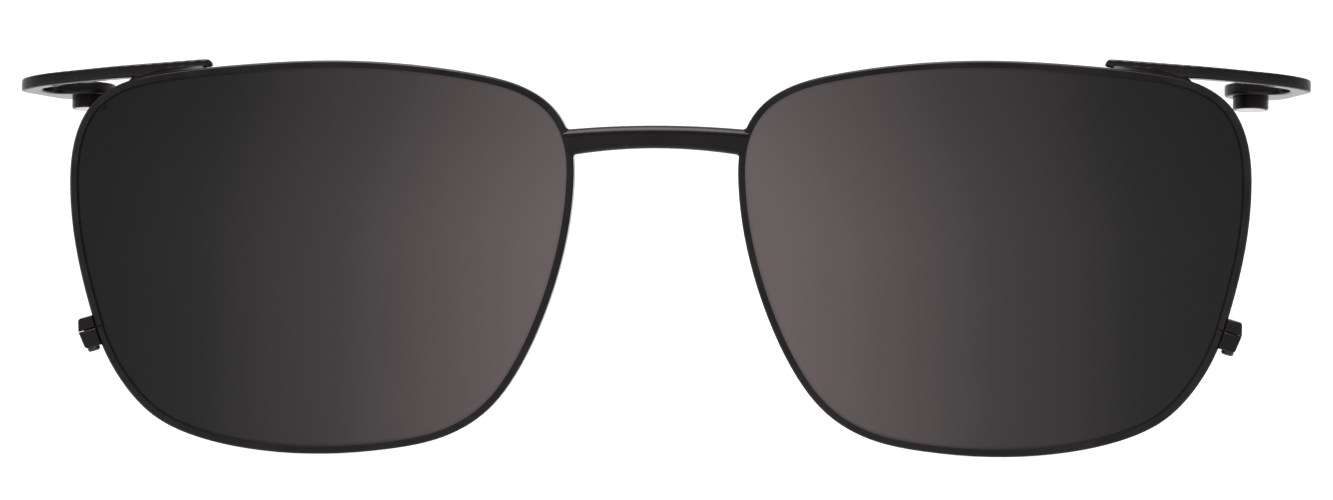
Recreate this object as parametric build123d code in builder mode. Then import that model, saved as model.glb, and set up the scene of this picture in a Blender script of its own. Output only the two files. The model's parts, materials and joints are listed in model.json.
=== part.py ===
from build123d import *
import math
import os

# A sunglass clip that hangs in front of a pair of glasses. Two split eyewires hold
# bevelled lenses, a bridge joins them, and a hooked arm on each outer corner carries
# a magnet that sits on the glasses' end piece.
#
# The origin lies midway between the faces of the two magnets. X runs to the viewer's
# right, Y from the front of the clip to the wearer, Z up. All lengths are millimetres.

# Where the magnets sit, from the outer end, the front and the top of the lenses
seat_beside_lens = 0.05
seat_behind_lens = 14.0
seat_below_top = 5.0

# Lenses, by their boxed sizes
lens_width = 53.0
lens_height = 40.8
bridge_size = 17.9
lens_curve = 177.0
lens_toe_in = 3.4
lens_thickness = 1.4
bevel_height = 0.67
bevel_run = 0.5

# Eyewires
wire_depth = 1.8
wire_wall = 0.33
wire_lip = 0.42
lip_depth = 0.37
groove_rise = 0.33
groove_run = 0.26
wire_chamfer = 0.18
lens_fit = 0.03
braze_gap = 0.02
split_width = 0.1

# Bridge, with its top placed from the top of the lenses
bridge_below_top = 6.52
bridge_height = 2.43
bridge_top_fall = 0.5
bridge_bottom_fall = 0.95
bridge_end_cover = 1.2
bridge_depth = 1.9
bridge_bow = 0.6
bridge_lap = 0.3
bridge_round = 0.9

# Hooked arms, stamped from sheet that slopes down to the rear
hook_pitch = 8.0
hook_thickness = 1.35
hook_width = 1.9
hook_fall = 0.065
hook_depth = 12.4
nose_reach = 6.4
tab_radius = 2.8
level_start = 2.6
level_depth_share = 0.46
level_radius = 30.0
foot_overhang = 0.25
foot_lap = 0.4
bar_end_round = 0.65

# Magnets and their cups
cup_radius = 1.9
cup_height = 1.35
cup_wall = 0.3
cup_floor = 0.25
cup_round = 0.2
magnet_gap = 0.03

# Closing blocks of the eyewires and their screws
lock_reach_top = 1.5
lock_reach_split = 1.85
lock_reach_bottom = 1.65
lock_upper = 1.33
lock_lower = 1.9
lock_depth = 2.2
lock_corner = 0.35
lock_round = 0.2
screw_offset = 0.92
screw_radius = 0.5
screw_clearance = 0.06
head_radius = 0.66
head_height = 0.45
head_chamfer = 0.15
slot_width = 0.3
slot_depth = 0.25
hole_cover = 0.25
left_slot_turn = 90.0
right_slot_turn = 40.0

# One overrun serves every cut
overrun = 5.0

# Outline of the bevel's edge on the right lens, as shares of half its box, from the
# point where the eyewire is split, up the outer side and round.
outline_shares = [
    (0.896, -0.364), (0.969, 0.000), (1.000, 0.352), (0.984, 0.592), (0.922, 0.765),
    (0.812, 0.872), (0.640, 0.931), (0.360, 0.972), (0.000, 0.998), (-0.360, 0.978),
    (-0.620, 0.930), (-0.802, 0.863), (-0.920, 0.757), (-0.985, 0.599), (-0.998, 0.380),
    (-0.954, 0.000), (-0.879, -0.304), (-0.776, -0.581), (-0.656, -0.780),
    (-0.494, -0.908), (-0.276, -0.973), (0.000, -1.000), (0.277, -0.978),
    (0.499, -0.915), (0.660, -0.817), (0.786, -0.650),
]

# Ends of the hook's foot on the eyewire, as shares of half the lens box
foot_start_shares = (0.470, 0.985)
foot_end_shares = (0.743, 0.897)

# Edges of the hook round its nose, seen square to its sheet. The first share is of the
# nose's reach beyond the magnet, the second of the hook's depth in front of it.
hook_outer_shares = [
    (0.094, 0.827), (0.656, 0.718), (1.000, 0.484), (0.844, 0.218), (0.453, -0.177),
]
hook_inner_shares = [
    (0.203, 0.194), (0.453, 0.214), (0.586, 0.298), (0.656, 0.460), (0.531, 0.589),
    (0.187, 0.677),
]

# Planes and points that the pieces share
magnet_half_span = bridge_size / 2 + lens_width + seat_beside_lens
seat_above_lens = lens_height / 2 - seat_below_top
bridge_rise = lens_height / 2 - bridge_below_top
lens_centre_x = (lens_width + bridge_size) / 2
forward = Vector(0, -1, 0)
front = Plane(
    origin=(0, -seat_behind_lens, -seat_above_lens), x_dir=(1, 0, 0), z_dir=forward
)
lens_plane = Plane(
    origin=front.from_local_coords(Vector(lens_centre_x, 0, 0)), x_dir=(1, 0, 0), z_dir=forward
)
curve_centre = lens_plane.from_local_coords(Vector(-lens_toe_in, 0, -lens_curve))
through = lens_width / 4
wire_back = lens_curve - wire_depth
lens_front = lens_curve - (wire_depth - lens_thickness) / 2
lens_back = lens_front - lens_thickness

outline_points = [(x * lens_width / 2, z * lens_height / 2) for x, z in outline_shares]
with BuildLine() as outline:
    Spline(*outline_points, periodic=True)
outline_edge = outline.edges()[0]

# Each point of the outline with the direction out of the lens there
outline_frames = []
for point in outline_points:
    along = outline_edge % outline_edge.param_at_point(Vector(*point))
    outline_frames.append((Vector(*point), Vector(along.Y, -along.X)))


def curve_depth(x, z):
    """Depth of the eyewire's front behind the lenses' front plane, from a lens centre."""
    return lens_curve - math.sqrt(lens_curve**2 - (x + lens_toe_in) ** 2 - z**2)


def eye_blank(grow, front_radius, back_radius):
    """The lens outline moved outwards by grow, cut from a sheet between two spheres."""
    with BuildSketch(lens_plane.offset(overrun)) as face:
        with BuildLine():
            Spline(*[spot + out * grow for spot, out in outline_frames], periodic=True)
        make_face()
    with BuildPart() as blank:
        extrude(face.sketch, amount=-through - overrun)
        with Locations(curve_centre):
            Sphere(front_radius, mode=Mode.INTERSECT)
        with Locations(curve_centre):
            Sphere(back_radius, mode=Mode.SUBTRACT)
    return blank.part


def longest(face):
    """The longest edge of a face."""
    return face.edges().sort_by(SortBy.LENGTH)[-1]


# The room that brazed pieces leave for the eyewire, with and without the lens
wire_space = eye_blank(wire_wall + braze_gap, lens_curve + overrun, wire_back - overrun)
wire_front_space = eye_blank(wire_wall + braze_gap, lens_curve + braze_gap, wire_back - overrun)
foot_space = eye_blank(wire_wall - foot_lap, lens_curve + overrun, wire_back - overrun)
opening = eye_blank(-wire_lip, lens_curve + overrun, wire_back - overrun)

# Right lens, with a bevel that stands in the groove
with BuildPart() as right_lens:
    add(eye_blank(0, lens_front, lens_back))
    for side in (0, -1):
        sheet = right_lens.faces().filter_by(GeomType.SPHERE).sort_by(Axis.Y)[side]
        chamfer(sheet.edges(), length=bevel_height, length2=bevel_run, reference=sheet)
right_lens.part.label = "right_lens"
os.makedirs("parts", exist_ok=True)
export_step(right_lens.part, "parts/right_lens.step")

# Where the eyewire is split, and the plane of the closing blocks there
split_x, split_z = outline_points[0]
split_out = outline_frames[0][1]
outward = Vector(split_out.X, 0, split_out.Y)
split_point = lens_plane.from_local_coords(Vector(split_x, split_z))
lock_front = curve_depth(split_x, split_z) + (wire_depth - lock_depth) / 2
lock_plane = Plane(
    origin=split_point + outward * wire_wall - forward * lock_front,
    x_dir=outward,
    z_dir=forward,
)

# Right eyewire, a grooved wire bent round the lens and split at the closing blocks
with BuildPart() as right_rim:
    add(eye_blank(wire_wall, lens_curve, wire_back))
    chamfer(right_rim.faces().filter_by(GeomType.SPHERE).edges(), length=wire_chamfer)
    add(eye_blank(lens_fit, lens_curve - lip_depth, wire_back + lip_depth), mode=Mode.SUBTRACT)
    add(opening, mode=Mode.SUBTRACT)
    for side in (1, -2):
        lip = right_rim.faces().filter_by(GeomType.SPHERE).sort_by(Axis.Y)[side]
        chamfer(longest(lip), length=groove_rise, length2=groove_run, reference=lip)
    with BuildSketch(lock_plane):
        Rectangle(2 * lock_depth, split_width)
    extrude(amount=overrun, both=True, mode=Mode.SUBTRACT)
right_rim.part.label = "right_rim"
export_step(right_rim.part, "parts/right_rim.step")

# Bridge, an arched bar brazed to the outside of both eyewires and lapped over their fronts
bridge_half = bridge_size / 2 + bridge_end_cover
bridge_end_depth = curve_depth(-lens_width / 2, bridge_rise) - bridge_lap
bridge_mid_depth = bridge_end_depth - bridge_bow
bridge_top = Plane(origin=front.origin, x_dir=(1, 0, 0), z_dir=(0, 0, 1))
with BuildPart() as bridge:
    with BuildSketch(front):
        with BuildLine():
            top = ThreePointArc(
                (-bridge_half, bridge_rise - bridge_top_fall),
                (0, bridge_rise),
                (bridge_half, bridge_rise - bridge_top_fall),
            )
            bottom = ThreePointArc(
                (-bridge_half, bridge_rise - bridge_height - bridge_bottom_fall),
                (0, bridge_rise - bridge_height),
                (bridge_half, bridge_rise - bridge_height - bridge_bottom_fall),
            )
            Line(top @ 0, bottom @ 0)
            Line(top @ 1, bottom @ 1)
        make_face()
    extrude(amount=-through)
    with BuildSketch(bridge_top):
        with BuildLine():
            face_line = ThreePointArc(
                (-bridge_half, bridge_end_depth),
                (0, bridge_mid_depth),
                (bridge_half, bridge_end_depth),
            )
            rear_line = ThreePointArc(
                (-bridge_half, bridge_end_depth + bridge_depth),
                (0, bridge_mid_depth + bridge_depth),
                (bridge_half, bridge_end_depth + bridge_depth),
            )
            Line(face_line @ 0, rear_line @ 0)
            Line(face_line @ 1, rear_line @ 1)
        make_face()
    extrude(amount=lens_height, mode=Mode.INTERSECT)
    ends = bridge.faces().filter_by(Axis.X).edges()
    fillet([edge for edge in bridge.edges() if edge not in ends], radius=bridge_round)
    for side in (wire_front_space, opening):
        add(side, mode=Mode.SUBTRACT)
        mirror(side, about=Plane.YZ, mode=Mode.SUBTRACT)
bridge.part.label = "bridge"
export_step(bridge.part, "parts/bridge.step")

# Right arm: a hook cut from sloping sheet, with a foot that follows the eyewire
pitch = math.radians(hook_pitch)
seat_normal = Vector(0, math.sin(pitch), math.cos(pitch))
seat_plane = Plane(origin=(magnet_half_span, 0, 0), x_dir=(1, 0, 0), z_dir=seat_normal)
hook_plane = seat_plane.offset(cup_height)
front_view = Plane(origin=hook_plane.origin, x_dir=(1, 0, 0), z_dir=-hook_plane.y_dir)
turn_view = front_view.offset(level_depth_share * hook_depth)
start_x, start_z = (foot_start_shares[0] * lens_width / 2, foot_start_shares[1] * lens_height / 2)
fork_x, fork_z = (foot_end_shares[0] * lens_width / 2, foot_end_shares[1] * lens_height / 2)
bar_start_depth = curve_depth(start_x, start_z) - foot_overhang
bar_fork_depth = curve_depth(fork_x, fork_z) - foot_overhang
bar_start = lens_centre_x + start_x - magnet_half_span
bar_fork = lens_centre_x + fork_x - magnet_half_span
outer_points = [(x * nose_reach, -y * hook_depth) for x, y in hook_outer_shares]
inner_points = [(x * nose_reach, -y * hook_depth) for x, y in hook_inner_shares]
with BuildSketch(hook_plane) as hook_outline:
    with BuildLine():
        start_front = Vector(bar_start, bar_start_depth - seat_behind_lens)
        fork_front = Vector(bar_fork, bar_fork_depth - seat_behind_lens)
        along_foot = (fork_front - start_front).normalized()
        across = Vector(-along_foot.Y, along_foot.X) * hook_width
        ThreePointArc(
            start_front + across,
            start_front + across / 2 - along_foot * (hook_width / 2),
            start_front,
        )
        Line(start_front, fork_front)
        Spline(fork_front, *outer_points, (0, tab_radius), tangents=[along_foot, (-1, 0)])
        ThreePointArc((0, tab_radius), (-tab_radius, 0), (0, -tab_radius))
        Spline(
            (0, -tab_radius),
            *inner_points,
            fork_front + across,
            tangents=[(1, 0), -along_foot],
        )
        Line(fork_front + across, start_front + across)
    make_face()


# Seen from the front the sheet falls outwards, but behind the slot it is level as far
# as the nose
fall_end = nose_reach + overrun
fall_start = bar_start - hook_width / 2
high_end = (level_start - fall_start) * hook_fall
low_end = (level_start - fall_end) * hook_fall
with BuildPart() as hook_sheet:
    with BuildSketch(turn_view):
        with BuildLine():
            Polyline(
                (fall_start, high_end),
                (fall_end, low_end),
                (fall_end, low_end + hook_thickness),
                (fall_start, high_end + hook_thickness),
                close=True,
            )
        bar_end = make_face().vertices().sort_by_distance((fall_start, high_end + hook_thickness))
        fillet(bar_end[0], radius=bar_end_round)
    extrude(amount=hook_depth)
    with BuildSketch(turn_view) as level_half:
        with BuildLine():
            Polyline(
                (fall_start, 0),
                (level_start, 0),
                (fall_end, low_end),
                (fall_end, low_end + hook_thickness),
                (level_start, hook_thickness),
                (fall_start, hook_thickness),
                close=True,
            )
        make_face()
        bends = level_half.vertices().sort_by_distance((level_start, hook_thickness / 2))[:2]
        fillet(bends, radius=level_radius)
    extrude(amount=-hook_depth)

with BuildPart() as foot:
    extrude(hook_outline.sketch, amount=hook_thickness, both=True)
    with BuildSketch(front_view):
        with BuildLine():
            Polyline(
                (fall_start, -hook_thickness),
                (bar_fork, -hook_thickness),
                (bar_fork, (level_start - bar_fork) * hook_fall + hook_thickness / 2),
                (fall_start, high_end + hook_thickness / 2),
                close=True,
            )
        make_face()
    extrude(amount=hook_depth + overrun, mode=Mode.INTERSECT)

with BuildPart() as right_arm:
    extrude(hook_outline.sketch, amount=hook_thickness + high_end, both=True)
    add(hook_sheet.part, mode=Mode.INTERSECT)
    add(foot.part)
    for side in (wire_front_space, foot_space):
        add(side, mode=Mode.SUBTRACT)
right_arm.part.label = "right_arm"
export_step(right_arm.part, "parts/right_arm.step")

# Right magnet and its cup, which opens downwards on to the glasses' end piece
with BuildPart() as right_magnet_cup:
    with BuildSketch(seat_plane):
        Circle(cup_radius)
    extrude(amount=cup_height - braze_gap)
    fillet(right_magnet_cup.edges().sort_by(Axis.Z)[0], radius=cup_round)
    with BuildSketch(seat_plane):
        Circle(cup_radius - cup_wall)
    extrude(amount=cup_height - braze_gap - cup_floor, mode=Mode.SUBTRACT)
right_magnet_cup.part.label = "right_magnet_cup"
export_step(right_magnet_cup.part, "parts/right_magnet_cup.step")

with BuildPart() as right_magnet:
    with BuildSketch(seat_plane):
        Circle(cup_radius - cup_wall - magnet_gap)
    extrude(amount=cup_height - braze_gap - cup_floor - magnet_gap)
right_magnet.part.label = "right_magnet"
export_step(right_magnet.part, "parts/right_magnet.step")

# Closing blocks on either side of the split, and the screw that draws them together
screw_plane = Plane(
    origin=lock_plane.from_local_coords(Vector(screw_offset, -lock_lower, -lock_depth / 2)),
    x_dir=forward,
    z_dir=-lock_plane.y_dir,
)
screw_length = lock_lower + lock_upper - hole_cover


def closing_block(end, reach):
    """One block, from the split to its far end, cut to sit on the eyewire."""
    near = math.copysign(split_width / 2, end)
    with BuildPart() as block:
        with BuildSketch(lock_plane) as side_view:
            with BuildLine():
                Polyline(
                    (-lock_depth, near),
                    (lock_reach_split, near),
                    (reach, end),
                    (-lock_depth, end),
                    close=True,
                )
            make_face()
            fillet(side_view.vertices().sort_by_distance((reach, end))[0], radius=lock_corner)
        extrude(amount=-lock_depth)
        for side in (0, -1):
            fillet(block.faces().sort_by(Axis.Y)[side].edges(), radius=lock_round)
        add(wire_space, mode=Mode.SUBTRACT)
    return block.part


def closing_screw(turn):
    """A slotted screw, with its slot turned from the front."""
    with BuildPart() as screw:
        with BuildSketch(screw_plane):
            Circle(head_radius)
        extrude(amount=head_height)
        chamfer(screw.edges().sort_by(Axis.Z)[0], length=head_chamfer)
        with BuildSketch(screw_plane):
            Circle(screw_radius)
        extrude(amount=-screw_length + braze_gap)
        with BuildSketch(screw_plane.offset(head_height)):
            Rectangle(2 * lock_depth, slot_width, rotation=turn)
        extrude(amount=-slot_depth, mode=Mode.SUBTRACT)
    return screw.part


with BuildPart() as right_lock_upper:
    add(closing_block(lock_upper, lock_reach_top))
    with BuildSketch(screw_plane):
        Circle(screw_radius + braze_gap)
    extrude(amount=-screw_length, mode=Mode.SUBTRACT)
right_lock_upper.part.label = "right_lock_upper"
export_step(right_lock_upper.part, "parts/right_lock_upper.step")

with BuildPart() as right_lock_lower:
    add(closing_block(-lock_lower, lock_reach_bottom))
    with BuildSketch(screw_plane):
        Circle(screw_radius + screw_clearance)
    extrude(amount=-screw_length, mode=Mode.SUBTRACT)
right_lock_lower.part.label = "right_lock_lower"
export_step(right_lock_lower.part, "parts/right_lock_lower.step")

with BuildPart() as right_lock_screw:
    add(closing_screw(right_slot_turn))
right_lock_screw.part.label = "right_lock_screw"
export_step(right_lock_screw.part, "parts/right_lock_screw.step")

# Left side, which mirrors the right except for the turn of the screw's slot
with BuildPart() as left_lens:
    mirror(right_lens.part, about=Plane.YZ)
left_lens.part.label = "left_lens"
export_step(left_lens.part, "parts/left_lens.step")

with BuildPart() as left_rim:
    mirror(right_rim.part, about=Plane.YZ)
left_rim.part.label = "left_rim"
export_step(left_rim.part, "parts/left_rim.step")

with BuildPart() as left_arm:
    mirror(right_arm.part, about=Plane.YZ)
left_arm.part.label = "left_arm"
export_step(left_arm.part, "parts/left_arm.step")

with BuildPart() as left_magnet_cup:
    mirror(right_magnet_cup.part, about=Plane.YZ)
left_magnet_cup.part.label = "left_magnet_cup"
export_step(left_magnet_cup.part, "parts/left_magnet_cup.step")

with BuildPart() as left_magnet:
    mirror(right_magnet.part, about=Plane.YZ)
left_magnet.part.label = "left_magnet"
export_step(left_magnet.part, "parts/left_magnet.step")

with BuildPart() as left_lock_upper:
    mirror(right_lock_upper.part, about=Plane.YZ)
left_lock_upper.part.label = "left_lock_upper"
export_step(left_lock_upper.part, "parts/left_lock_upper.step")

with BuildPart() as left_lock_lower:
    mirror(right_lock_lower.part, about=Plane.YZ)
left_lock_lower.part.label = "left_lock_lower"
export_step(left_lock_lower.part, "parts/left_lock_lower.step")

with BuildPart() as left_lock_screw:
    mirror(closing_screw(left_slot_turn), about=Plane.YZ)
left_lock_screw.part.label = "left_lock_screw"
export_step(left_lock_screw.part, "parts/left_lock_screw.step")
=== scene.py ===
"""Looks for the sunglass clip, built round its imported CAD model. All lengths are metres."""

import json
import math

import bmesh
import bpy
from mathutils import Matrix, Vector
from mathutils.bvhtree import BVHTree


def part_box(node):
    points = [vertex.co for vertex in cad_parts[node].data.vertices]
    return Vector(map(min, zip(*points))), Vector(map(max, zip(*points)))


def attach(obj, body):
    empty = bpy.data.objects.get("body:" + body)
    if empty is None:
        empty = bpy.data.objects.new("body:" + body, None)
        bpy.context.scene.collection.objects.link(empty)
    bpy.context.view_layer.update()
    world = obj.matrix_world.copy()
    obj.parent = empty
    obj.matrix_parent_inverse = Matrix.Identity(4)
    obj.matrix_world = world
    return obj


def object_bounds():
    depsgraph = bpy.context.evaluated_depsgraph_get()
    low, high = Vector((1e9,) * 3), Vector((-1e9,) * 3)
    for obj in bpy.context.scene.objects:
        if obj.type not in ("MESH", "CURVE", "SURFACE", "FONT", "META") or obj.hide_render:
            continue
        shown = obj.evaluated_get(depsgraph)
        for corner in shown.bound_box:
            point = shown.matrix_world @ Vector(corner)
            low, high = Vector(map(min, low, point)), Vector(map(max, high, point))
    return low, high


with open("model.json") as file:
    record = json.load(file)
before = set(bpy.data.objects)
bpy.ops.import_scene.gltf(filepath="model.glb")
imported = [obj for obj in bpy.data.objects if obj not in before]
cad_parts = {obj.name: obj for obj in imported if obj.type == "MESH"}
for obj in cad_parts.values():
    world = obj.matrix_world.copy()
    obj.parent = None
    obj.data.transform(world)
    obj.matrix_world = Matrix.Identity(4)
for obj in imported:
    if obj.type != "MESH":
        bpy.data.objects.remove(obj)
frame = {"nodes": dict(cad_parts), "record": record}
cad_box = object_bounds()
nodes = frame["nodes"]
lens_low, lens_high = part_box("right_lens")
side_of = {1: "right", -1: "left"}

# Camera, as solved from the photograph: far off, a little to the right and above
VIEW_AIM = Vector((0.00129, -0.01386, -0.01453))
VIEW_DISTANCE = 0.8
VIEW_AZIMUTH = math.radians(5.186)
VIEW_ELEVATION = math.radians(1.636)
VIEW_START = 0.01
VIEW_END = 200.0
SENSOR_WIDTH = 36.0
FOCAL_LENGTH = 206.5

# Stage: a lit white table, walls as bright as the table low down and dimmer higher up,
# most so on the camera's side, and one lamp. The ceiling's numbers are its strengths on
# the camera's side and behind the clip, how high the dimming is complete, and the part
# of the Y direction over which the one strength turns into the other.
WHITE = (1.0, 1.0, 1.0, 1.0)
FLOOR_RADIUS = 60.0
FLOOR_CORNERS = 64
FLOOR_COLOUR = (0.15, 0.15, 0.15, 1.0)
FLOOR_GLOW = 0.89
FLOOR_ROUGHNESS = 0.9
FLOOR_SPECULAR = 0.1
WALL_STRENGTH = 1.25
CEILING_FRONT = 0.3
CEILING_BACK = 0.95
CEILING_START = 0.45
CEILING_TURN = (-0.3, 0.6)
SUN_STRENGTH = 6.0
SUN_ANGLE = math.radians(45)
SUN_ELEVATION = math.radians(76)
SUN_AZIMUTH = math.radians(-25)

# Noise: parts of its range that are stretched to a full one, and how detailed it is
UNIT = (0.0, 1.0)
NOISE_WIDE = (0.3, 0.7)
NOISE_MIDDLE = (0.35, 0.65)
NOISE_NARROW = (0.4, 0.6)
NOISE_UPPER = (0.5, 0.7)
CLOUD_DETAIL = 3.0
FINE_DETAIL = 2.0

# Lacquer of the frame. Scales count grains to the metre.
LACQUER_DARK = (0.0040, 0.0032, 0.0034)
LACQUER_LIGHT = (0.0062, 0.0051, 0.0053)
LACQUER_RUBBED = (0.016, 0.015, 0.014)
LACQUER_CLOUD_SCALE = 260.0
LACQUER_EDGE = (0.52, 0.60)
LACQUER_RUBBING = (0.25, 0.7)
LACQUER_ROUGHNESS = (0.34, 0.44)
LACQUER_SPECULAR = 0.03
LACQUER_SPECULAR_TINT = (1.0, 0.93, 0.95, 1.0)
PEEL_SCALE = 5200.0
PEEL_HEIGHT = 0.000004
COAT_ROUGHNESS = 0.24
COAT_TINT = (1.0, 0.96, 0.97, 1.0)
WIRE_SHINE = 1.2
STAMPING_SHINE = 1.26

# Colour of the lenses along the way from the nose, at 0, to the temple, at 1: lighter and a
# little brown at the nose, darker at the temple. The colour of higher places and of the left
# lens is read a little further along.
LENS_TINTS = [
    (0.1, (0.100, 0.082, 0.083)),
    (0.5, (0.0380, 0.0330, 0.0342)),
    (0.8, (0.0127, 0.0126, 0.0128)),
    (1.0, (0.0076, 0.0075, 0.0077)),
]
LENS_TOP_SHIFT = 0.16
LENS_TEMPLE_SHARE = 0.2
LENS_LEFT_SHIFT = 0.04
LENS_CLOUD_SCALE = 90.0
LENS_CLOUD_SHIFT = 0.008
LENS_HAZE_SCALE = 700.0
LENS_HAZE = 0.02
LENS_IOR = 1.2

# The magnets' bright nickel plate and the blackened screws, where steel shows in places
NICKEL = {
    "cloud_scale": 900.0,
    "cloud_range": NOISE_MIDDLE,
    "colours": ((0.36, 0.355, 0.34), (0.46, 0.45, 0.43)),
    "scratch_scale": 9000.0,
    "scratch_depth": 0.000002,
    "roughness": (0.22, 0.36),
    "metallic": 1.0,
}
SCREW_STEEL = {
    "cloud_scale": 1500.0,
    "cloud_range": NOISE_UPPER,
    "colours": ((0.014, 0.014, 0.015), (0.06, 0.058, 0.055)),
    "scratch_scale": 12000.0,
    "scratch_depth": 0.000003,
    "roughness": (0.32, 0.48),
    "metallic": 0.4,
}

# Edges, which the CAD leaves sharp
ARM_GRAIN = 0.00009
ARM_PULL = 0.5
ARM_SMOOTHING = 50
WELD_REACH = 0.000002
BLOCK_ROUND = 0.00007
BLOCK_SEGMENTS = 3
BLOCK_SHARP = math.radians(35)
BLOCK_GROWTH = 0.00002

# Rays that look for a surface start this far above or below the clip and before it
RAY_HIGH = 0.02
RAY_FRONT = -0.05

# Webs of braze between the bridge and the rims: their size and its share at both ends,
# the depth of their front under the bar (-1) and on top of it (1) and of their back,
# where the bar is looked for, and how deep their corner and, as a share of that, their
# face lie in the metal
BRAZE_SIZE = 0.00045
BRAZE_END_SHARE = 0.35
BRAZE_FRONT = {-1: -0.01208, 1: -0.01185}
BRAZE_BACK = -0.01085
BRAZE_NEAR = 0.0086
BRAZE_SUNK = 0.00005
BRAZE_FACE_SHARE = 0.3
BRAZE_SLICES = 9
BRAZE_STEPS = 6

# Webs of braze along the arms' feet: their size, its share at both ends, where the rim's
# top is looked for, how far below and above it the fronts of the rim and the foot are
# looked for, and how deep the web's lines lie in them
FOOT_START = 0.0476
FOOT_END = 0.0560
FOOT_SLICES = 18
FOOT_WEB = 0.00055
FOOT_END_SHARE = 0.15
FOOT_DEPTH = -0.0108
FOOT_BELOW = 0.00025
FOOT_ABOVE = 0.0003
FOOT_SKIN = 0.00003
FOOT_SUNK = 0.0002
FOOT_HOLLOW = 0.00004
FOOT_RIM_SKIN = 0.0001
FOOT_RIM_LAP = 0.00008

# Lacquer in the rims' splits: its middle, how far out that is moved, its half sizes
# outward, in depth and along the rim, and its points
SPLIT_PLACE = Vector((0.05919, -0.01085, -0.02283))
SPLIT_OUTWARD = 0.0003
SPLIT_HALF_SIZES = (0.00050, 0.00085, 0.00011)
SPLIT_SLICES = 9
SPLIT_SIDES = 12

# Sockets of a Mix node that mixes colours
MIX_AMOUNT, MIX_FIRST, MIX_SECOND, MIX_RESULT = 0, 6, 7, 2


# Node helpers


def new_material(name):
    """A material with an empty node tree, its tree and its Principled shader."""
    material = bpy.data.materials.new(name)
    material.use_nodes = True
    tree = material.node_tree
    tree.nodes.clear()
    output = tree.nodes.new("ShaderNodeOutputMaterial")
    shader = tree.nodes.new("ShaderNodeBsdfPrincipled")
    tree.links.new(shader.outputs["BSDF"], output.inputs["Surface"])
    return material, tree, shader


def place(tree):
    """Where a point of the surface is, in metres in the clip's own frame."""
    return tree.nodes.new("ShaderNodeTexCoord").outputs["Object"]


def noise(tree, where, scale, detail):
    """Noise with about that many grains to the metre."""
    node = tree.nodes.new("ShaderNodeTexNoise")
    node.inputs["Scale"].default_value = scale
    node.inputs["Detail"].default_value = detail
    tree.links.new(where, node.inputs["Vector"])
    return node.outputs["Fac"]


def remap(tree, value, source, target, smooth=False):
    """value moved from the source range to the target range and held at its ends."""
    node = tree.nodes.new("ShaderNodeMapRange")
    node.clamp = True
    if smooth:
        node.interpolation_type = "SMOOTHSTEP"
    node.inputs["From Min"].default_value = source[0]
    node.inputs["From Max"].default_value = source[1]
    node.inputs["To Min"].default_value = target[0]
    node.inputs["To Max"].default_value = target[1]
    tree.links.new(value, node.inputs["Value"])
    return node.outputs["Result"]


def math_node(tree, operation, *values):
    """A Math node fed by sockets or numbers."""
    node = tree.nodes.new("ShaderNodeMath")
    node.operation = operation
    for slot, value in zip(node.inputs, values):
        if isinstance(value, (int, float)):
            slot.default_value = value
        else:
            tree.links.new(value, slot)
    return node.outputs["Value"]


def ramp(tree, value, stops):
    """A colour ramp through (position, colour) stops."""
    node = tree.nodes.new("ShaderNodeValToRGB")
    elements = node.color_ramp.elements
    while len(elements) < len(stops):
        elements.new(0.5)
    for element, (position, colour) in zip(elements, stops):
        element.position = position
        element.color = (*colour, 1.0)
    tree.links.new(value, node.inputs["Fac"])
    return node.outputs["Color"]


def mix_colour(tree, amount, first, second):
    """first where amount is 0 and second where it is 1. Both are colours or sockets."""
    node = tree.nodes.new("ShaderNodeMix")
    node.data_type = "RGBA"
    tree.links.new(amount, node.inputs[MIX_AMOUNT])
    for slot, value in ((MIX_FIRST, first), (MIX_SECOND, second)):
        if isinstance(value, tuple):
            node.inputs[slot].default_value = (*value, 1.0)
        else:
            tree.links.new(value, node.inputs[slot])
    return node.outputs[MIX_RESULT]


def bump(tree, height, distance):
    """A bump of that height in metres."""
    node = tree.nodes.new("ShaderNodeBump")
    node.inputs["Distance"].default_value = distance
    tree.links.new(height, node.inputs["Height"])
    return node.outputs["Normal"]


# Materials


def satin_black(name, shine):
    """Black satin lacquer on metal, with fine orange peel and edges rubbed a little lighter."""
    material, tree, shader = new_material(name)
    where = place(tree)
    cloud = noise(tree, where, LACQUER_CLOUD_SCALE, CLOUD_DETAIL)
    peel = noise(tree, where, PEEL_SCALE, FINE_DETAIL)
    sharpness = tree.nodes.new("ShaderNodeNewGeometry").outputs["Pointiness"]
    worn = remap(tree, sharpness, LACQUER_EDGE, UNIT)
    clouded = remap(tree, cloud, NOISE_MIDDLE, UNIT)
    lacquer = mix_colour(tree, clouded, LACQUER_DARK, LACQUER_LIGHT)
    rubbing = remap(tree, cloud, NOISE_NARROW, LACQUER_RUBBING)
    edge = math_node(tree, "MULTIPLY", worn, rubbing)
    colour = mix_colour(tree, edge, lacquer, LACQUER_RUBBED)
    tree.links.new(colour, shader.inputs["Base Color"])
    roughness = remap(tree, peel, NOISE_WIDE, LACQUER_ROUGHNESS)
    tree.links.new(roughness, shader.inputs["Roughness"])
    peeled = bump(tree, peel, PEEL_HEIGHT)
    tree.links.new(peeled, shader.inputs["Normal"])
    tree.links.new(peeled, shader.inputs["Coat Normal"])
    shader.inputs["Specular IOR Level"].default_value = LACQUER_SPECULAR
    shader.inputs["Specular Tint"].default_value = LACQUER_SPECULAR_TINT
    shader.inputs["Coat Weight"].default_value = 1.0
    shader.inputs["Coat IOR"].default_value = shine
    shader.inputs["Coat Roughness"].default_value = COAT_ROUGHNESS
    shader.inputs["Coat Tint"].default_value = COAT_TINT
    return material


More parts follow.
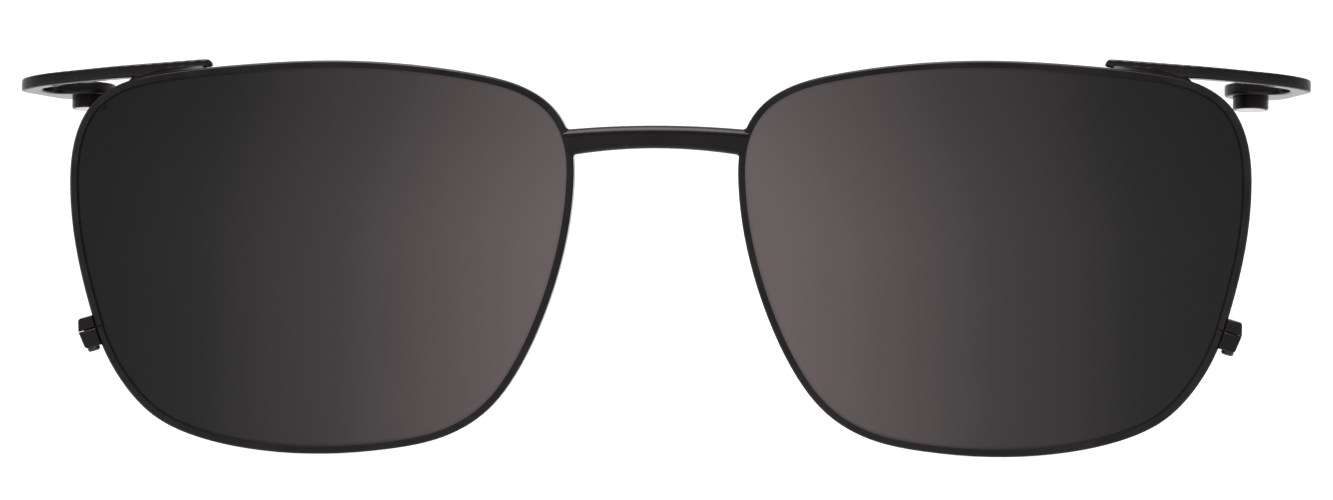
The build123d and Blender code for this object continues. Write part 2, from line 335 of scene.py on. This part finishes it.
def tinted_lens():
    """Grey sun lens, lighter and a little brown towards the nose and darker towards the temple.
    """
    material, tree, shader = new_material("tinted_lens")
    where = place(tree)
    split = tree.nodes.new("ShaderNodeSeparateXYZ")
    tree.links.new(where, split.inputs["Vector"])
    from_middle = math_node(tree, "ABSOLUTE", split.outputs["X"])
    across = remap(tree, from_middle, (lens_low.x, lens_high.x), UNIT)
    upper_half = ((lens_low.z + lens_high.z) / 2, lens_high.z)
    up = remap(tree, split.outputs["Z"], upper_half, (0.0, LENS_TOP_SHIFT), smooth=True)
    up = math_node(tree, "MULTIPLY", up, remap(tree, across, UNIT, (1.0, LENS_TEMPLE_SHARE)))
    cloud = noise(tree, where, LENS_CLOUD_SCALE, CLOUD_DETAIL)
    clouded = remap(tree, cloud, NOISE_WIDE, (-LENS_CLOUD_SHIFT, LENS_CLOUD_SHIFT))
    nose = (-lens_low.x, lens_low.x)
    on_left = remap(tree, split.outputs["X"], nose, (LENS_LEFT_SHIFT, 0.0))
    along = across
    for shift in (up, clouded, on_left):
        along = math_node(tree, "ADD", along, shift)
    tree.links.new(ramp(tree, along, LENS_TINTS), shader.inputs["Base Color"])
    shader.inputs["Transmission Weight"].default_value = 1.0
    shader.inputs["IOR"].default_value = LENS_IOR
    haze = remap(
        tree, noise(tree, where, LENS_HAZE_SCALE, FINE_DETAIL), NOISE_WIDE, (0.0, LENS_HAZE)
    )
    tree.links.new(haze, shader.inputs["Roughness"])
    return material


def clouded_metal(name, look):
    """Metal with clouds of two colours and fine scratches, which look describes."""
    material, tree, shader = new_material(name)
    where = place(tree)
    cloud = noise(tree, where, look["cloud_scale"], CLOUD_DETAIL)
    scratches = noise(tree, where, look["scratch_scale"], FINE_DETAIL)
    clouded = remap(tree, cloud, look["cloud_range"], UNIT)
    tree.links.new(mix_colour(tree, clouded, *look["colours"]), shader.inputs["Base Color"])
    roughness = remap(tree, scratches, NOISE_WIDE, look["roughness"])
    tree.links.new(roughness, shader.inputs["Roughness"])
    scratched = bump(tree, scratches, look["scratch_depth"])
    tree.links.new(scratched, shader.inputs["Normal"])
    shader.inputs["Metallic"].default_value = look["metallic"]
    return material


MADE = {
    "frame_metal": satin_black("satin_black_metal", WIRE_SHINE),
    "tinted_lens": tinted_lens(),
    "magnet": clouded_metal("nickel_plate", NICKEL),
    "screw_steel": clouded_metal("blackened_steel", SCREW_STEEL),
}
stamping_black = satin_black("satin_black_stamping", STAMPING_SHINE)
for part in frame["record"]["subparts"]:
    mesh = nodes[part["node"]].data
    mesh.materials.clear()
    stamped = part["node"].endswith("_arm")
    mesh.materials.append(stamping_black if stamped else MADE[part["material_slot"]])


# Rounded edges


def round_stamping(piece):
    """Rounds a stamped piece all along its edges."""
    remesh = piece.modifiers.new("grain", "REMESH")
    remesh.mode = "VOXEL"
    remesh.voxel_size = ARM_GRAIN
    remesh.use_smooth_shade = True
    smooth = piece.modifiers.new("rounding", "SMOOTH")
    smooth.factor = ARM_PULL
    smooth.iterations = ARM_SMOOTHING


def round_edges(piece):
    """Rounds the sharp edges of a machined piece."""
    weld = piece.modifiers.new("weld", "WELD")
    weld.merge_threshold = WELD_REACH
    bevel = piece.modifiers.new("edges", "BEVEL")
    bevel.width = BLOCK_ROUND
    bevel.segments = BLOCK_SEGMENTS
    bevel.limit_method = "ANGLE"
    bevel.angle_limit = BLOCK_SHARP
    bevel.harden_normals = True


def grow(piece):
    """Closes the hair of air that the CAD leaves at a brazed joint."""
    displace = piece.modifiers.new("growth", "DISPLACE")
    displace.strength = BLOCK_GROWTH
    displace.mid_level = 0.0


for side in ("left", "right"):
    round_stamping(nodes[f"{side}_arm"])
    for half in ("lock_upper", "lock_lower"):
        round_edges(nodes[f"{side}_{half}"])
        grow(nodes[f"{side}_{half}"])


# Braze and lacquer. sign is 1 on the right and -1 on the left.


def ray(tree, start, heading):
    """Where a ray first meets a surface."""
    return tree.ray_cast(Vector(start), Vector(heading))[0]


def curve(start, corner, end):
    """Points of a smooth hollow curve that leaves both ends towards the corner."""
    shares = [k / BRAZE_STEPS for k in range(BRAZE_STEPS + 1)]
    return [start * (1 - t) ** 2 + corner * (2 * t * (1 - t)) + end * t**2 for t in shares]


def filler(name, sections):
    """A smooth black piece through closed sections with the same number of points."""
    row = len(sections[0])
    last = (len(sections) - 1) * row
    faces = [tuple(range(row)), tuple(last + k for k in reversed(range(row)))]
    for i in range(len(sections) - 1):
        for k in range(row):
            m = (k + 1) % row
            faces.append((i * row + k, i * row + m, (i + 1) * row + m, (i + 1) * row + k))
    shape = bmesh.new()
    points = [shape.verts.new(point) for section in sections for point in section]
    for face in faces:
        shape.faces.new([points[k] for k in face])
    bmesh.ops.recalc_face_normals(shape, faces=shape.faces)
    mesh = bpy.data.meshes.new(name)
    shape.to_mesh(mesh)
    shape.free()
    mesh.shade_smooth()
    mesh.materials.append(MADE["frame_metal"])
    piece = bpy.data.objects.new(name, mesh)
    bpy.context.scene.collection.objects.link(piece)
    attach(piece, "root")


def bridge_braze(name, sign, upward):
    """A web of braze in the corner between the bridge bar and a rim.

    upward is 1 on top of the bar and -1 under it.
    """
    sections = []
    for i in range(BRAZE_SLICES):
        share = i / (BRAZE_SLICES - 1)
        depth = BRAZE_FRONT[upward] + (BRAZE_BACK - BRAZE_FRONT[upward]) * share
        swell = math.sqrt(max(0.0, 1 - (2 * share - 1) ** 2))
        size = BRAZE_SIZE * (BRAZE_END_SHARE + (1 - BRAZE_END_SHARE) * swell)
        over = upward * RAY_HIGH
        bar = ray(bar_tree, (sign * BRAZE_NEAR, depth, over), (0, 0, -upward))
        beside_bar = (0, depth, bar.z + upward * BRAZE_SUNK)
        rim = ray(rim_trees[sign], beside_bar, (sign, 0, 0))
        corner = Vector((rim.x, depth, bar.z))
        on_bar = ray(bar_tree, (corner.x - sign * size, depth, over), (0, 0, -upward))
        beside_rim = (0, depth, corner.z + upward * size)
        on_rim = ray(rim_trees[sign], beside_rim, (sign, 0, 0))
        sunk = Vector((sign, 0, -upward)) * BRAZE_SUNK
        web = [point + sunk * BRAZE_FACE_SHARE for point in curve(on_bar, corner, on_rim)]
        sections.append([corner + sunk, *web])
    filler(name, sections)


def foot_braze(name, sign):
    """A web of braze along the front of an arm's foot, down to the front of the rim."""
    sections = []
    for i in range(FOOT_SLICES):
        share = i / (FOOT_SLICES - 1)
        across = sign * (FOOT_START + (FOOT_END - FOOT_START) * share)
        swell = math.sin(math.pi * share) ** 0.5
        size = FOOT_WEB * (FOOT_END_SHARE + (1 - FOOT_END_SHARE) * swell)
        top = ray(rim_trees[sign], (across, FOOT_DEPTH, RAY_HIGH), (0, 0, -1)).z
        rim_face = ray(rim_trees[sign], (across, RAY_FRONT, top - FOOT_BELOW), (0, 1, 0))
        foot_face = ray(arm_trees[sign], (across, RAY_FRONT, top + FOOT_ABOVE), (0, 1, 0))
        if foot_face is None:
            continue
        on_foot = Vector((across, foot_face.y + FOOT_SKIN, top + size))
        on_rim = Vector((across, rim_face.y + FOOT_RIM_SKIN, top - FOOT_RIM_LAP))
        corner = (on_foot + on_rim) / 2 + Vector((0, FOOT_HOLLOW, 0))
        inside = Vector((across, foot_face.y + FOOT_SUNK, top - FOOT_RIM_LAP))
        sections.append([inside, *curve(on_foot, corner, on_rim)])
    filler(name, sections)


def split_fill(name, sign):
    """Lacquer that fills the hairline where the rim's ends meet under the closing blocks."""
    halves = [
        sum(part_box(f"{side_of[sign]}_lock_{half}"), Vector()) / 2 for half in ("upper", "lower")
    ]
    along = (halves[0] - halves[1]) * Vector((1, 0, 1))
    along.normalize()
    out = Vector((along.z, 0, -along.x)) * sign
    back = Vector((0, 1, 0))
    centre = SPLIT_PLACE * Vector((sign, 1, 1)) + out * SPLIT_OUTWARD
    half_out, half_depth, half_along = SPLIT_HALF_SIZES
    sections = []
    for i in range(1, SPLIT_SLICES):
        turn = math.pi * i / SPLIT_SLICES
        ring = []
        for k in range(SPLIT_SIDES):
            angle = 2 * math.pi * k / SPLIT_SIDES
            ring.append(
                centre
                + back * half_depth * math.cos(turn)
                + out * half_out * math.sin(turn) * math.cos(angle)
                + along * half_along * math.sin(turn) * math.sin(angle)
            )
        sections.append(ring)
    filler(name, sections)


def surface(node):
    """A node's surface as rays see it, with its modifiers."""
    return BVHTree.FromObject(nodes[node], evaluated)


evaluated = bpy.context.evaluated_depsgraph_get()
bar_tree = surface("bridge")
rim_trees = {sign: surface(f"{side}_rim") for sign, side in side_of.items()}
arm_trees = {sign: surface(f"{side}_arm") for sign, side in side_of.items()}
for sign, side in side_of.items():
    bridge_braze(f"{side}_bridge_braze_under", sign, -1)
    bridge_braze(f"{side}_bridge_braze_over", sign, 1)
    foot_braze(f"{side}_foot_braze", sign)
    split_fill(f"{side}_split_lacquer", sign)


# Stage: a white floor under the clip and even white light

floor_mesh = bpy.data.meshes.new("floor")
turns = (2 * math.pi * i / FLOOR_CORNERS for i in range(FLOOR_CORNERS))
edge_points = [
    (FLOOR_RADIUS * math.cos(turn), FLOOR_RADIUS * math.sin(turn), cad_box[0].z) for turn in turns
]
floor_mesh.from_pydata(edge_points, [], [list(range(FLOOR_CORNERS))])
floor = bpy.data.objects.new("floor", floor_mesh)
bpy.context.scene.collection.objects.link(floor)
floor_material, floor_tree, floor_shader = new_material("white_floor")
floor_shader.inputs["Base Color"].default_value = FLOOR_COLOUR
floor_shader.inputs["Roughness"].default_value = FLOOR_ROUGHNESS
floor_shader.inputs["Specular IOR Level"].default_value = FLOOR_SPECULAR
floor_shader.inputs["Emission Color"].default_value = WHITE
floor_shader.inputs["Emission Strength"].default_value = FLOOR_GLOW
floor_mesh.materials.append(floor_material)

world = bpy.data.worlds.new("studio")
bpy.context.scene.world = world
world.use_nodes = True
sky = world.node_tree
background = sky.nodes["Background"]
background.inputs["Color"].default_value = WHITE
heading = sky.nodes.new("ShaderNodeSeparateXYZ")
sky.links.new(
    sky.nodes.new("ShaderNodeTexCoord").outputs["Generated"], heading.inputs["Vector"]
)
climb = remap(sky, heading.outputs["Z"], (0.0, CEILING_START), UNIT, smooth=True)
dimming = (WALL_STRENGTH - CEILING_FRONT, WALL_STRENGTH - CEILING_BACK)
drop = remap(sky, heading.outputs["Y"], CEILING_TURN, dimming, smooth=True)
dimmed = math_node(sky, "SUBTRACT", WALL_STRENGTH, math_node(sky, "MULTIPLY", climb, drop))
sky.links.new(dimmed, background.inputs["Strength"])


def aim(thing, place_at, target):
    """Puts a lamp or camera at a place and turns it to look at the target."""
    thing.location = place_at
    thing.rotation_mode = "QUATERNION"
    thing.rotation_quaternion = (target - place_at).to_track_quat("-Z", "Y")


def direction(azimuth, elevation):
    """Towards a viewer at that angle. Azimuth 0 is the front and 90 degrees the right."""
    return Vector(
        (
            math.sin(azimuth) * math.cos(elevation),
            -math.cos(azimuth) * math.cos(elevation),
            math.sin(elevation),
        )
    )


sun_data = bpy.data.lights.new("sun", "SUN")
sun_data.energy = SUN_STRENGTH
sun_data.angle = SUN_ANGLE
sun = bpy.data.objects.new("sun", sun_data)
bpy.context.scene.collection.objects.link(sun)
aim(sun, direction(SUN_AZIMUTH, SUN_ELEVATION), Vector())

camera_data = bpy.data.cameras.new("camera")
camera_data.sensor_width = SENSOR_WIDTH
camera_data.lens = FOCAL_LENGTH
camera_data.clip_start = VIEW_START
camera_data.clip_end = VIEW_END
camera = bpy.data.objects.new("camera", camera_data)
bpy.context.scene.collection.objects.link(camera)
aim(camera, VIEW_AIM + direction(VIEW_AZIMUTH, VIEW_ELEVATION) * VIEW_DISTANCE, VIEW_AIM)
bpy.context.scene.camera = camera
bpy.context.scene.view_settings.view_transform = "Standard"
